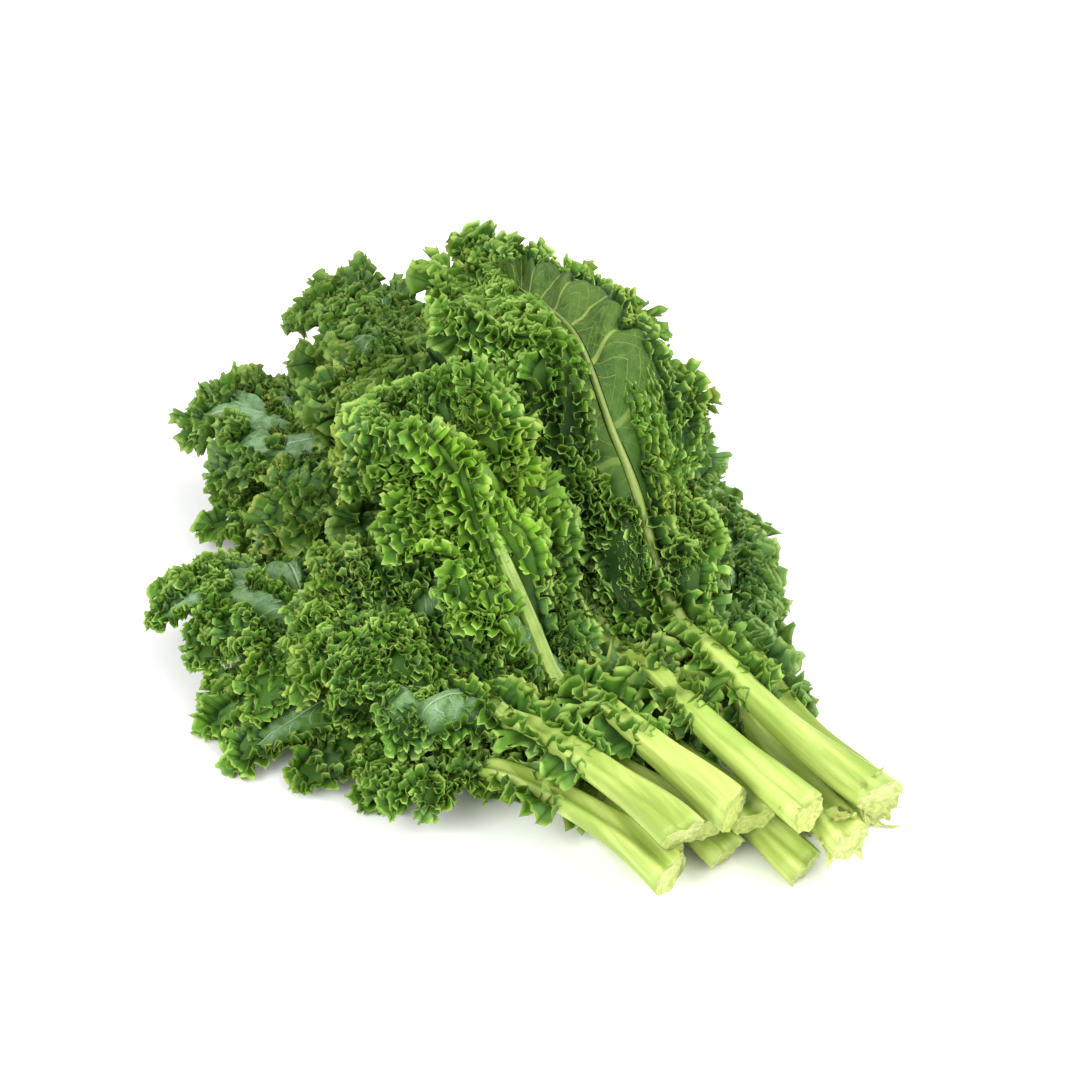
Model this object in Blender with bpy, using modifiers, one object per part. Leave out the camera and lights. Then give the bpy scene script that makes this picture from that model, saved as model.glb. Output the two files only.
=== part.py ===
"""A bunch of curly kale, cut and laid on its side on a table.

Fourteen leaves lie on one another. Each leaf is a stalk, which runs on as the
midrib, and a blade: a thin ribbon that follows the midrib up one side, round
its tip and down the other, with a lobed and ruffled outer margin. Their cut
ends are at +X, their tips at -X, and the table is at Z = 0.
"""

import math
from collections import namedtuple

import bmesh
import bpy
import numpy as np

MM = 0.001
SEED = 40

# Where the bare stalks end and the blades begin, along X
WAIST_X = 104 * MM
# Each row of stalks lies this much above the one below it, and keeps to it this far past the waist
ROW_PITCH = 15.5 * MM
ROW_FADE = 75 * MM
# The bare stalks leave their rows over this length, before the waist
ROW_LEAVE = 45 * MM

# A stalk's half-width along the leaf: at the cut, behind the cut's flare, at the waist, at the tip
CUT_R, NECK_R, WAIST_R, TIP_R = 9.0 * MM, 7.0 * MM, 5.6 * MM, 1.2 * MM
FLARE_LENGTH = 45 * MM
BARE_RINGS, MIDRIB_RINGS = 4, 17
MIDRIB_END = 0.90
MIDRIB_POINT = 0.5
# The stalk's section for a half-width of one, rounded below and grooved above; its foot is flat
SECTION = (
    (0.42, -0.92), (-0.42, -0.92), (-0.92, -0.42), (-1.0, 0.18), (-0.62, 0.66),
    (0.0, 0.5), (0.62, 0.66), (1.0, 0.18), (0.92, -0.42),
)
SECTION_FOOT = 0.92

# The blade
BLADE_THICKNESS = 1.0 * MM
BLADE_GAP = 0.9 * MM
NARROWEST = 3.5 * MM
# Steps round the margin: this many on a long blade, fewer on a short one, so that none is much shorter
MARGIN_STEPS, SHORTEST_STEP = 72, 6 * MM
ACROSS = (0.0, 0.45, 1.0)
LOBES_A_SIDE = 6
LOBE_DEPTH = 0.42
STAGGER = 0.4
BASE_RAY_ANGLE = math.radians(78)

# The height that a leaf's ruffles take up, at the waist and past its middle, and more on a leaf
# that is held high
SLAB_START, SLAB = 5.0 * MM, 12.5 * MM
SLAB_FOR_LIFT = 0.12
# The margin is folded up and down by this much, or on a short blade by this share of its length
FOLD, FOLD_SHARE = 5 * MM, 0.02
RIB_CLEAR = 3.0 * MM
RIB_SHOULDER = 16 * MM
SLAB_CLEAR = 1.3 * MM
# A leaf that lies over another comes down again over this length past the lower one's margin
STALK_DROOP, WAIST_DROOP, DROOP = 4 * MM, 12 * MM, 38 * MM
# A stiff leaf carries itself up over this length past the waist, and sags towards its margins and tip
RISE = 150 * MM
EDGE_SAG = 0.5
TIP_SAG = 0.22
STACK_POWER = 12

# Stations along a leaf at which its outline and its stacking height are worked out
STATIONS = 48

# cut: the cut end. steer: the point that bends the leaf's line, near the waist. tip: the blade's tip.
# lift: how high the leaf carries itself. All in millimetres, seen from above.
# row: the row of stalks it lies in. turned: it lies with its underside up.
# The leaves are listed from the lowest to the topmost.
Leaf = namedtuple("Leaf", "cut steer tip half_width row lift turned")
LEAVES = (
    Leaf((188, 22), (110, 22), (-140, 96), 60, 0, 0, False),
    Leaf((196, 44), (112, 42), (-20, 98), 46, 0, 0, False),
    Leaf((205, -2), (108, 0), (-184, -18), 60, 0, 24, False),
    Leaf((182, -24), (106, -22), (-124, -88), 62, 0, 12, False),
    Leaf((172, -46), (104, -44), (4, -135), 54, 0, 0, False),
    Leaf((190, -59), (126, -60), (78, -106), 35, 1, 6, False),
    Leaf((198, 38), (114, 36), (22, 76), 40, 1, 26, False),
    Leaf((176, -36), (104, -32), (-52, -136), 62, 1, 36, False),
    Leaf((214, 12), (116, 22), (-160, 92), 62, 1, 74, False),
    Leaf((184, -13), (106, -12), (-164, -72), 64, 1, 62, False),
    Leaf((187, -52), (108, -54), (24, -108), 50, 2, 30, False),
    Leaf((204, -3), (104, -9), (-194, 4), 72, 2, 90, False),
    Leaf((212, 27), (104, 10), (-134, 58), 68, 2, 96, True),
    Leaf((187, -27), (104, -31), (-22, -60), 46, 2, 60, False),
)

STALK_COLOUR = (0.52, 0.66, 0.16, 1)
BLADE_COLOUR = (0.09, 0.26, 0.04, 1)


def smoothstep(low, high, x):
    t = np.clip((x - low) / (high - low), 0, 1)
    return t * t * (3 - 2 * t)


def width_share(t):
    """The blade's half-width as a share of its widest: narrow at the waist, full past its middle."""
    swell = 0.13 + 0.87 * smoothstep(0.02, 0.48, t)
    round_off = np.sqrt(np.clip(1 - np.clip((t - 0.68) / 0.56, 0, 1) ** 2, 0, 1))
    return np.where(t < 0, 0, swell * round_off)


class Line:
    """A leaf's line seen from above, as stations from the cut to the tip."""

    def __init__(self, leaf):
        cut, steer, tip = (np.array(p) * MM for p in (leaf.cut, leaf.steer, leaf.tip))
        s = np.linspace(0, 1, STATIONS)[:, None]
        self.xy = (1 - s) ** 2 * cut + 2 * s * (1 - s) * steer + s**2 * tip
        tangent = (1 - s) * (steer - cut) + s * (tip - steer)
        self.tangent = tangent / np.linalg.norm(tangent, axis=1, keepdims=True)
        steps = np.linalg.norm(np.diff(self.xy, axis=0), axis=1)
        self.reach = np.concatenate([[0], np.cumsum(steps)])
        self.length = self.reach[-1]
        self.blade_start = np.interp(-WAIST_X, -self.xy[:, 0], self.reach)
        # t runs along the blade, from 0 at the waist to 1 at the tip
        self.t = (self.reach - self.blade_start) / (self.length - self.blade_start)
        self.radius = self.stalk_radius()
        self.half_width = leaf.half_width * MM * width_share(self.t)
        self.outline = np.maximum(self.half_width, self.radius)
        self.lift = leaf.lift * MM
        full_slab = SLAB + SLAB_FOR_LIFT * self.lift
        self.slab = SLAB_START + (full_slab - SLAB_START) * smoothstep(0, 0.5, self.t)
        self.rib_slab = np.maximum(2 * self.radius + RIB_CLEAR, self.slab)
        self.droop = STALK_DROOP + WAIST_DROOP * smoothstep(-0.06, 0.04, self.t)
        self.droop += DROOP * smoothstep(0.05, 0.5, self.t)
        self.row_height = leaf.row * ROW_PITCH
        self.fold = min(FOLD, FOLD_SHARE * (self.length - self.blade_start))
        self.turned = leaf.turned

    def stalk_radius(self):
        """Half-width of the stalk and midrib at each station."""
        flare = CUT_R + (NECK_R - CUT_R) * smoothstep(0, FLARE_LENGTH, self.reach)
        to_waist = smoothstep(FLARE_LENGTH / 2, self.blade_start, self.reach)
        to_tip = np.clip(self.t, 0, 1)
        return (flare + (WAIST_R - NECK_R) * to_waist) * (1 - to_tip) + TIP_R * to_tip

    def at(self, t, values):
        """Values that are known at the stations, read off at places t along the blade."""
        if values.ndim == 1:
            return np.interp(t, self.t, values)
        return np.stack([np.interp(t, self.t, column) for column in values.T], axis=-1)

    def locate(self, points):
        """How far each point is from the leaf's line, and the place t along it that is nearest."""
        away = points[:, None, :] - self.xy
        nearest = (away**2).sum(axis=2).argmin(axis=1)
        away = away[np.arange(len(points)), nearest]
        half_step = self.length / STATIONS
        along = np.clip((away * self.tangent[nearest]).sum(axis=1), -half_step, half_step)
        distance = np.linalg.norm(away - along[:, None] * self.tangent[nearest], axis=1)
        return distance, np.interp(self.reach[nearest] + along, self.reach, self.t)


def resting_height(lines, number, points):
    """The height at which a leaf rests at each point, on the table or on the leaves below it."""
    before_waist = points[:, 0] - WAIST_X
    tops = 0
    for line in lines[: number + 1]:
        distance, t = line.locate(points)
        outline = line.at(t, line.outline)
        row = line.row_height * smoothstep(-ROW_FADE, 0, before_waist)
        sag = 1 - EDGE_SAG * np.clip(distance / outline, 0, 1) ** 2 - TIP_SAG * smoothstep(0.5, 1, t)
        carried = line.lift * smoothstep(0, RISE, -before_waist) * sag
        height = (tops + row**STACK_POWER + carried**STACK_POWER) ** (1 / STACK_POWER)
        cover = 1 - smoothstep(0, 1, (distance - outline) / line.at(t, line.droop))
        radius = line.at(t, line.radius)
        on_rib = 1 - smoothstep(radius, radius + RIB_SHOULDER, distance)
        slab = line.at(t, line.slab)
        slab = slab + (line.at(t, line.rib_slab) - slab) * on_rib
        tops = tops + (cover * (height + slab)) ** STACK_POWER
    return height


def midrib_heights(lines, number):
    """The height of a leaf's stalk and midrib at its stations."""
    line = lines[number]
    held_up = resting_height(lines, number, line.xy) + line.rib_slab / 2
    laid = line.row_height + SECTION_FOOT * line.radius
    past = smoothstep(-ROW_LEAVE, 0, WAIST_X - line.xy[:, 0])
    return laid + (held_up - laid) * past


def lobes(number, side, along):
    """Round the margin, how far the blade reaches out, and how far it rises, from lobe to lobe."""
    rng = np.random.default_rng(SEED + number)
    sizes = rng.uniform(0.84, 1.06, (2, LOBES_A_SIDE + 2))
    stagger = STAGGER * np.where(side > 0, 1, 0) * (1 - along)
    place = LOBES_A_SIDE * along + stagger
    size = sizes[np.where(side > 0, 1, 0), np.rint(place).astype(int)]
    between = 1 - np.abs(np.cos(math.pi * place)) ** 1.2
    reach = size * (1 - LOBE_DEPTH * between)
    return reach, -np.cos(2 * math.pi * place)


def blade_points(lines, number):
    """The blade's middle surface, as a grid of points: round the margin, and from the midrib outwards."""
    line = lines[number]
    rng = np.random.default_rng(SEED - number)
    steps = min(MARGIN_STEPS, 2 * round((line.length - line.blade_start) / SHORTEST_STEP))
    u = np.linspace(0, 1, steps + 1)
    side = np.where(u < 0.5, 1.0, -1.0)
    along = 1 - np.abs(2 * u - 1)
    t = MIDRIB_END * np.sin(along * math.pi / 2) ** 1.15
    root = line.at(t, line.xy)
    forward = line.at(t, line.tangent)
    leftward = np.stack([-forward[:, 1], forward[:, 0]], axis=1)
    # The inner edge keeps beside the midrib and closes round its end; the rays lean forward from it
    inner_turn = side * math.radians(90) * (1 - smoothstep(0.88, 1, along))
    ray_turn = side * BASE_RAY_ANGLE * (1 - along**1.7)
    inward = (line.at(t, line.radius) + BLADE_GAP)[:, None]
    beside = forward * np.cos(inner_turn)[:, None] + leftward * np.sin(inner_turn)[:, None]
    outward = forward * np.cos(ray_turn)[:, None] + leftward * np.sin(ray_turn)[:, None]
    reach, lobe_rise = lobes(number, side, along)
    width = np.maximum(line.at(t, line.half_width) * reach - inward[:, 0], NARROWEST)
    crest = np.where(np.arange(len(u)) % 2 == 0, 1.0, -1.0) * rng.uniform(0.6, 1, len(u))
    width = width * (1 - 0.05 * crest)
    room = line.at(t, line.slab) / 2 - SLAB_CLEAR
    fold = np.minimum(0.66 * room, line.fold)
    ruffles = {0.0: 0, 0.45: -0.4 * room * lobe_rise, 1.0: fold * crest + (room - fold) * lobe_rise}
    grid = np.empty((len(u), len(ACROSS), 3))
    for j, v in enumerate(ACROSS):
        xy = root + beside * inward + outward * (width * v)[:, None]
        grid[:, j, :2] = xy
        grid[:, j, 2] = resting_height(lines, number, xy) + line.at(t, line.slab) / 2
        grid[:, j, 2] += ruffles[v] * (-1 if line.turned else 1)
    # The inner edge follows the midrib's own height
    grid[:, 0, 2] = line.at(t, midrib_heights(lines, number))
    return grid


def new_material(name, colour, roughness):
    material = bpy.data.materials.new(name)
    material.use_nodes = True
    shader = material.node_tree.nodes["Principled BSDF"]
    shader.inputs["Base Color"].default_value = colour
    shader.inputs["Roughness"].default_value = roughness
    return material


def stalk_section(collection):
    """The stalk's section as a guide curve."""
    curve = bpy.data.curves.new("stalk_section", "CURVE")
    curve.dimensions = "2D"
    spline = curve.splines.new("POLY")
    spline.points.add(len(SECTION) - 1)
    for point, (x, y) in zip(spline.points, SECTION):
        point.co = (x, y, 0, 1)
    spline.use_cyclic_u = True
    section = bpy.data.objects.new("stalk_section", curve)
    section.hide_render = True
    section.display_type = "WIRE"
    collection.objects.link(section)
    return section


def build_stalk(name, lines, number, middle, section, material, collection):
    line = lines[number]
    curve = bpy.data.curves.new(name, "CURVE")
    curve.dimensions = "3D"
    curve.bevel_mode = "OBJECT"
    curve.bevel_object = section
    curve.use_fill_caps = True
    curve.twist_mode = "Z_UP"
    spline = curve.splines.new("POLY")
    spline.points.add(BARE_RINGS + MIDRIB_RINGS - 1)
    heights = midrib_heights(lines, number)
    bare = np.linspace(0, line.blade_start - ROW_LEAVE, BARE_RINGS, endpoint=False)
    midrib = np.linspace(bare[-1] + bare[1], np.interp(MIDRIB_END, line.t, line.reach), MIDRIB_RINGS)
    reach = np.concatenate([bare, midrib])
    for point, place in zip(spline.points, reach):
        x = np.interp(place, line.reach, line.xy[:, 0]) - middle[0]
        y = np.interp(place, line.reach, line.xy[:, 1]) - middle[1]
        z = np.interp(place, line.reach, heights)
        point.co = (x, y, z, 1)
        point.radius = np.interp(place, line.reach, line.radius)
        point.tilt = math.pi if line.turned else 0
    spline.points[-1].radius *= MIDRIB_POINT
    stalk = bpy.data.objects.new(name, curve)
    curve.materials.append(material)
    collection.objects.link(stalk)


def build_blade(name, points, middle, material, collection):
    mesh = bpy.data.meshes.new(name)
    sheet = bmesh.new()
    bmesh.ops.create_grid(sheet, x_segments=len(ACROSS) - 1, y_segments=len(points) - 1)
    sheet.verts.ensure_lookup_table()
    for vertex, place in zip(sheet.verts, points.reshape(-1, 3)):
        vertex.co = (place[0] - middle[0], place[1] - middle[1], place[2])
    bmesh.ops.triangulate(sheet, faces=sheet.faces)
    bmesh.ops.recalc_face_normals(sheet, faces=sheet.faces)
    sheet.to_mesh(mesh)
    sheet.free()
    mesh.materials.append(material)
    blade = bpy.data.objects.new(name, mesh)
    collection.objects.link(blade)
    skin = blade.modifiers.new("thickness", "SOLIDIFY")
    skin.thickness = BLADE_THICKNESS
    skin.offset = 0


def main():
    for old in list(bpy.data.objects):
        bpy.data.objects.remove(old)
    bunch = bpy.data.collections.new("kale_bunch")
    helpers = bpy.data.collections.new("helpers")
    bpy.context.scene.collection.children.link(bunch)
    bpy.context.scene.collection.children.link(helpers)
    section = stalk_section(helpers)
    stalk_material = new_material("kale_stalk", STALK_COLOUR, 0.4)
    blade_material = new_material("kale_blade", BLADE_COLOUR, 0.5)

    lines = [Line(leaf) for leaf in LEAVES]
    blades = [blade_points(lines, number) for number in range(len(LEAVES))]
    # The origin is under the middle of the whole bunch
    outermost = np.concatenate([blade[:, -1, :2] for blade in blades] + [line.xy for line in lines])
    middle = (outermost.min(axis=0) + outermost.max(axis=0)) / 2

    for number, points in enumerate(blades):
        label = f"leaf_{number + 1:02d}"
        build_stalk(label + "_stalk", lines, number, middle, section, stalk_material, bunch)
        build_blade(label + "_blade", points, middle, blade_material, bunch)


main()
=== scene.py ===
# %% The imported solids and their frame
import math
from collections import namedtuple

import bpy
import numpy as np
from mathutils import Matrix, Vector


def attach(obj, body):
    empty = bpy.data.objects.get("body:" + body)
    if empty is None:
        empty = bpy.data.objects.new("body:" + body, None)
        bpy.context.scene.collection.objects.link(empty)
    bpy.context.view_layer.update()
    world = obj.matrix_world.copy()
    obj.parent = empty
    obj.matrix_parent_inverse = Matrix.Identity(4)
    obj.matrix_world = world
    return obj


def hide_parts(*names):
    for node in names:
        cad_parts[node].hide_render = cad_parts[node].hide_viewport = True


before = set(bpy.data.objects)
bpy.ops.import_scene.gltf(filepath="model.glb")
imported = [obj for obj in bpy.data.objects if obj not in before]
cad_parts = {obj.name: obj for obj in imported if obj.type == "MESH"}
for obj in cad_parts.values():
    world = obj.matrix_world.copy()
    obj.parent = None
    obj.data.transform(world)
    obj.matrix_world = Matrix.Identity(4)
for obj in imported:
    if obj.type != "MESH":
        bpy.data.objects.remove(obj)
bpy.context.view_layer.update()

# %% [markdown]
# # A bunch of curly kale
#
# The solids say where every leaf lies, how high it is heaped and how its lobes spread. They are
# coarse: a real leaf of this kind has a margin several times as long as its outline, so the margin
# crumples into frills, and the frills into smaller frills. This lesson dresses each leaf with those
# frills, gives the stalks their grooves and cut faces, and then adds colour, light and a camera.

MM = 0.001

# %% [markdown]
# ## Where the leaves lie
#
# On the real bunch every leaf rests on the ones below it. The solids were made from a short table:
# for each leaf its cut end, a point that steers it near the waist, its tip, its half-width, the row
# its stalk lies in and how high it carries itself. The same table and the same rules are repeated
# here, because the fine leaves must lie where the coarse ones do.

# %% The table of leaves
SEED = 40
MIDDLE = np.array((-7.61, -22.40)) * MM
WAIST_X = 104 * MM
ROW_PITCH, ROW_FADE, ROW_LEAVE = 15.5 * MM, 75 * MM, 45 * MM
Leaf = namedtuple("Leaf", "cut steer tip half_width row lift turned")
LEAVES = (
    Leaf((188, 22), (110, 22), (-140, 96), 60, 0, 0, False),
    Leaf((196, 44), (112, 42), (-20, 98), 46, 0, 0, False),
    Leaf((205, -2), (108, 0), (-184, -18), 60, 0, 24, False),
    Leaf((182, -24), (106, -22), (-124, -88), 62, 0, 12, False),
    Leaf((172, -46), (104, -44), (4, -135), 54, 0, 0, False),
    Leaf((190, -59), (126, -60), (78, -106), 35, 1, 6, False),
    Leaf((198, 38), (114, 36), (22, 76), 40, 1, 26, False),
    Leaf((176, -36), (104, -32), (-52, -136), 62, 1, 36, False),
    Leaf((214, 12), (116, 22), (-160, 92), 62, 1, 74, False),
    Leaf((184, -13), (106, -12), (-164, -72), 64, 1, 62, False),
    Leaf((187, -52), (108, -54), (24, -108), 50, 2, 30, False),
    Leaf((204, -3), (104, -9), (-194, 4), 72, 2, 90, False),
    Leaf((212, 27), (104, 10), (-134, 58), 68, 2, 96, True),
    Leaf((187, -27), (104, -31), (-22, -60), 46, 2, 60, False),
)
print(len(LEAVES), "leaves")

# %% The sizes that the leaves share
CUT_R, NECK_R, WAIST_R, TIP_R = 9.0 * MM, 7.0 * MM, 5.6 * MM, 1.2 * MM
FLARE_LENGTH = 45 * MM
MIDRIB_END = 0.90
SECTION_FOOT = 0.92
LOBES_A_SIDE, LOBE_DEPTH, STAGGER = 6, 0.42, 0.4
BASE_RAY_ANGLE = math.radians(78)
NARROWEST = 3.5 * MM
SLAB_START, SLAB, SLAB_FOR_LIFT = 5.0 * MM, 12.5 * MM, 0.12
RIB_CLEAR, RIB_SHOULDER, SLAB_CLEAR = 3.0 * MM, 16 * MM, 1.3 * MM
FOLD, FOLD_SHARE = 5 * MM, 0.02
STALK_DROOP, WAIST_DROOP, DROOP = 4 * MM, 12 * MM, 38 * MM
RISE, EDGE_SAG, TIP_SAG = 150 * MM, 0.5, 0.22
STACK_POWER = 12
STATIONS = 48


def smoothstep(low, high, x):
    t = np.clip((x - low) / (high - low), 0, 1)
    return t * t * (3 - 2 * t)


# %% [markdown]
# ## A leaf's line
#
# Seen from above, a leaf follows a gentle bend from its cut end past the waist to its tip. The line
# is kept as stations, with the stalk's half-width, the blade's half-width and the height that the
# ruffles take up at each. Anything in between is read off by interpolation.

# %% The line class
class Line:
    def __init__(self, leaf):
        cut, steer, tip = (np.array(p) * MM for p in (leaf.cut, leaf.steer, leaf.tip))
        s = np.linspace(0, 1, STATIONS)[:, None]
        self.xy = (1 - s) ** 2 * cut + 2 * s * (1 - s) * steer + s**2 * tip
        tangent = (1 - s) * (steer - cut) + s * (tip - steer)
        self.tangent = tangent / np.linalg.norm(tangent, axis=1, keepdims=True)
        steps = np.linalg.norm(np.diff(self.xy, axis=0), axis=1)
        self.reach = np.concatenate([[0], np.cumsum(steps)])
        self.length = self.reach[-1]
        self.blade_start = np.interp(-WAIST_X, -self.xy[:, 0], self.reach)
        self.t = (self.reach - self.blade_start) / (self.length - self.blade_start)
        self.radius = self.stalk_radius()
        self.half_width = leaf.half_width * MM * width_share(self.t)
        self.outline = np.maximum(self.half_width, self.radius)
        self.lift = leaf.lift * MM
        full_slab = SLAB + SLAB_FOR_LIFT * self.lift
        self.slab = SLAB_START + (full_slab - SLAB_START) * smoothstep(0, 0.5, self.t)
        self.rib_slab = np.maximum(2 * self.radius + RIB_CLEAR, self.slab)
        self.droop = STALK_DROOP + WAIST_DROOP * smoothstep(-0.06, 0.04, self.t)
        self.droop += DROOP * smoothstep(0.05, 0.5, self.t)
        self.row_height = leaf.row * ROW_PITCH
        self.fold = min(FOLD, FOLD_SHARE * (self.length - self.blade_start))
        self.turned = leaf.turned

    def stalk_radius(self):
        flare = CUT_R + (NECK_R - CUT_R) * smoothstep(0, FLARE_LENGTH, self.reach)
        to_waist = smoothstep(FLARE_LENGTH / 2, self.blade_start, self.reach)
        to_tip = np.clip(self.t, 0, 1)
        return (flare + (WAIST_R - NECK_R) * to_waist) * (1 - to_tip) + TIP_R * to_tip

    def at(self, t, values):
        if values.ndim == 1:
            return np.interp(t, self.t, values)
        return np.stack([np.interp(t, self.t, column) for column in values.T], axis=-1)

    def locate(self, points):
        away = points[:, None, :] - self.xy
        nearest = (away**2).sum(axis=2).argmin(axis=1)
        away = away[np.arange(len(points)), nearest]
        half_step = self.length / STATIONS
        along = np.clip((away * self.tangent[nearest]).sum(axis=1), -half_step, half_step)
        distance = np.linalg.norm(away - along[:, None] * self.tangent[nearest], axis=1)
        return distance, np.interp(self.reach[nearest] + along, self.reach, self.t)


def width_share(t):
    swell = 0.13 + 0.87 * smoothstep(0.02, 0.48, t)
    round_off = np.sqrt(np.clip(1 - np.clip((t - 0.68) / 0.56, 0, 1) ** 2, 0, 1))
    return np.where(t < 0, 0, swell * round_off)


lines = [Line(leaf) for leaf in LEAVES]
print("the longest leaf is", round(max(line.length for line in lines) * 1000), "mm long")

# %% [markdown]
# ## How high each leaf lies
#
# A leaf is held up by the table, by its row of stalks, by its own stiffness, or by the leaves that
# it lies over, whichever is highest. A power mean of these heights follows the highest one but
# passes smoothly from one to the next, as a bending leaf does.

# %% Heights
def resting_height(number, points):
    before_waist = points[:, 0] - WAIST_X
    tops = 0
    for line in lines[: number + 1]:
        distance, t = line.locate(points)
        outline = line.at(t, line.outline)
        row = line.row_height * smoothstep(-ROW_FADE, 0, before_waist)
        sag = 1 - EDGE_SAG * np.clip(distance / outline, 0, 1) ** 2 - TIP_SAG * smoothstep(0.5, 1, t)
        carried = line.lift * smoothstep(0, RISE, -before_waist) * sag
        height = (tops + row**STACK_POWER + carried**STACK_POWER) ** (1 / STACK_POWER)
        cover = 1 - smoothstep(0, 1, (distance - outline) / line.at(t, line.droop))
        radius = line.at(t, line.radius)
        on_rib = 1 - smoothstep(radius, radius + RIB_SHOULDER, distance)
        slab = line.at(t, line.slab)
        slab = slab + (line.at(t, line.rib_slab) - slab) * on_rib
        tops = tops + (cover * (height + slab)) ** STACK_POWER
    return height


def midrib_heights(number):
    line = lines[number]
    held_up = resting_height(number, line.xy) + line.rib_slab / 2
    laid = line.row_height + SECTION_FOOT * line.radius
    past = smoothstep(-ROW_LEAVE, 0, WAIST_X - line.xy[:, 0])
    return laid + (held_up - laid) * past


midribs = [midrib_heights(number) for number in range(len(lines))]
print("the highest midrib is at", round(max(z.max() for z in midribs) * 1000), "mm")

# %% [markdown]
# ## Helpers for living things
#
# Nothing that grows is quite even. A smooth random curve, seeded so that it comes out the same each
# time, wanders through sizes and phases, and a smooth random field makes lumps and hollows over an
# area. Two more helpers space values evenly along a curve and even them out.

# %% Random curves, lumps and even spacing
def eased(places):
    step = np.floor(places).astype(int)
    part = places - step
    return step, part * part * (3 - 2 * part)


def wander(seed, spacing, places):
    """A smooth random curve between -1 and 1, which turns about once in every spacing."""
    values = np.random.default_rng(seed).uniform(-1, 1, int(np.max(places) / spacing) + 4)
    step, part = eased(places / spacing)
    return values[step] * (1 - part) + values[step + 1] * part


def lumps(seed, spacing, xy):
    """A smooth random field between -1 and 1 over the table."""
    values = np.random.default_rng(seed).uniform(-1, 1, (128, 128))
    (i, across), (j, along) = eased(xy[..., 0] / spacing + 64), eased(xy[..., 1] / spacing + 64)
    near = values[i, j] * (1 - across) + values[i + 1, j] * across
    far = values[i, j + 1] * (1 - across) + values[i + 1, j + 1] * across
    return near * (1 - along) + far * along


def lengths(curve):
    return np.concatenate([[0], np.cumsum(np.linalg.norm(np.diff(curve, axis=0), axis=1))])


def resample(places, known_places, values):
    if np.ndim(values) == 1:
        return np.interp(places, known_places, values)
    return np.stack([np.interp(places, known_places, column) for column in values.T], axis=-1)


def unit(vectors):
    return vectors / np.maximum(np.linalg.norm(vectors, axis=-1, keepdims=True), 1e-12)


def smoothed(values, window):
    """A running mean along the first axis."""
    padded = np.concatenate([values[:1].repeat(window, 0), values, values[-1:].repeat(window, 0)])
    total = np.cumsum(padded, axis=0)
    return (total[2 * window:] - total[: -2 * window]) / (2 * window)


# %% [markdown]
# ## Frills
#
# A frill is a strip that stands on the leaf along a line of the blade and meanders more and more
# towards its free edge. The meander swings out and back, and also along the line, so its bends
# overhang as a real frill's do. A smaller zigzag on top of it makes the tight curls of the rim, and
# the rim is cut into small pointed teeth. The bends are counted along the free edge, because it is
# longer than the line at its foot and would else be stretched smooth round each lobe. Where a frill
# is low it sinks into the blade, so that no stump of it is left lying there as a line.

# %% The looks of frills
# wave and curl: the lengths of the large and the small bends. step: how far apart the points lie
# along the frill. rows: where they lie between its foot, 0, and its free edge, 1
FrillLook = namedtuple("FrillLook", "wave curl step rows")
FINE = FrillLook(5.8 * MM, 2.4 * MM, 0.60 * MM, (0, 0.42, 0.78, 1))
LOOSE = FrillLook(7.0 * MM, 2.9 * MM, 0.67 * MM, (0, 0.42, 0.78, 1))
LEAFY = FrillLook(9 * MM, 3.2 * MM, 0.95 * MM, (0, 0.35, 0.72, 1))
COARSE = FrillLook(14 * MM, 6.0 * MM, 1.7 * MM, (0, 0.5, 1))

# %% The foot of a frill
LOW, TALL, SINK = 2 * MM, 4 * MM, 2.5 * MM
FREE_EDGE_SHARE, LEAN_SPREAD = 0.8, 0.65


def varied(middle, spread, seed, spacing, s):
    """A column of values that wander about the middle one."""
    return (middle + spread * wander(seed, spacing, s))[:, None]


def frill_foot(curve, up, out, height, lean, look, seed):
    """Places along a frill's foot, the foot there, its directions and its height."""
    up, out = unit(up), unit(out)
    free_edge = curve + (up * np.cos(lean) + out * np.sin(lean)) * height[:, None]
    longer = np.maximum(np.diff(lengths(curve)), FREE_EDGE_SHARE * np.diff(lengths(free_edge)))
    known = np.concatenate([[0], np.cumsum(longer)])
    s = np.arange(0, known[-1], look.step)
    foot = resample(s, known, curve)
    up, out = unit(resample(s, known, up)), unit(resample(s, known, out))
    height = resample(s, known, height)[:, None]
    foot = foot - up * SINK * (1 - smoothstep(LOW, TALL, height))
    onward = unit(np.gradient(foot, axis=0))
    lean = varied(lean, LEAN_SPREAD, seed + 5, 1.3 * look.wave, s)
    stand = up * np.cos(lean) + out * np.sin(lean)
    swing = out * np.cos(lean) - up * np.sin(lean)
    return s, foot, onward, stand, swing, height


# %% One frill
BEND, BEND_SPREAD = 0.34, 0.12
WAVE_STRAY, CURL_STRAY = 0.45, 0.40
WAVE_OVERHANG, CURL_OVERHANG = 0.42, 0.40
TOOTH_PITCH, TOOTH, STEPS_A_TOOTH = 2.4 * MM, 1.1 * MM, 4
LARGEST_SIZE = 1.2


def bends(length, stray, seed, spacing, s):
    """The phase of bends of about one length, which come a little early or late."""
    return 2 * math.pi * varied(s / length, stray, seed, spacing, s)


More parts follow.
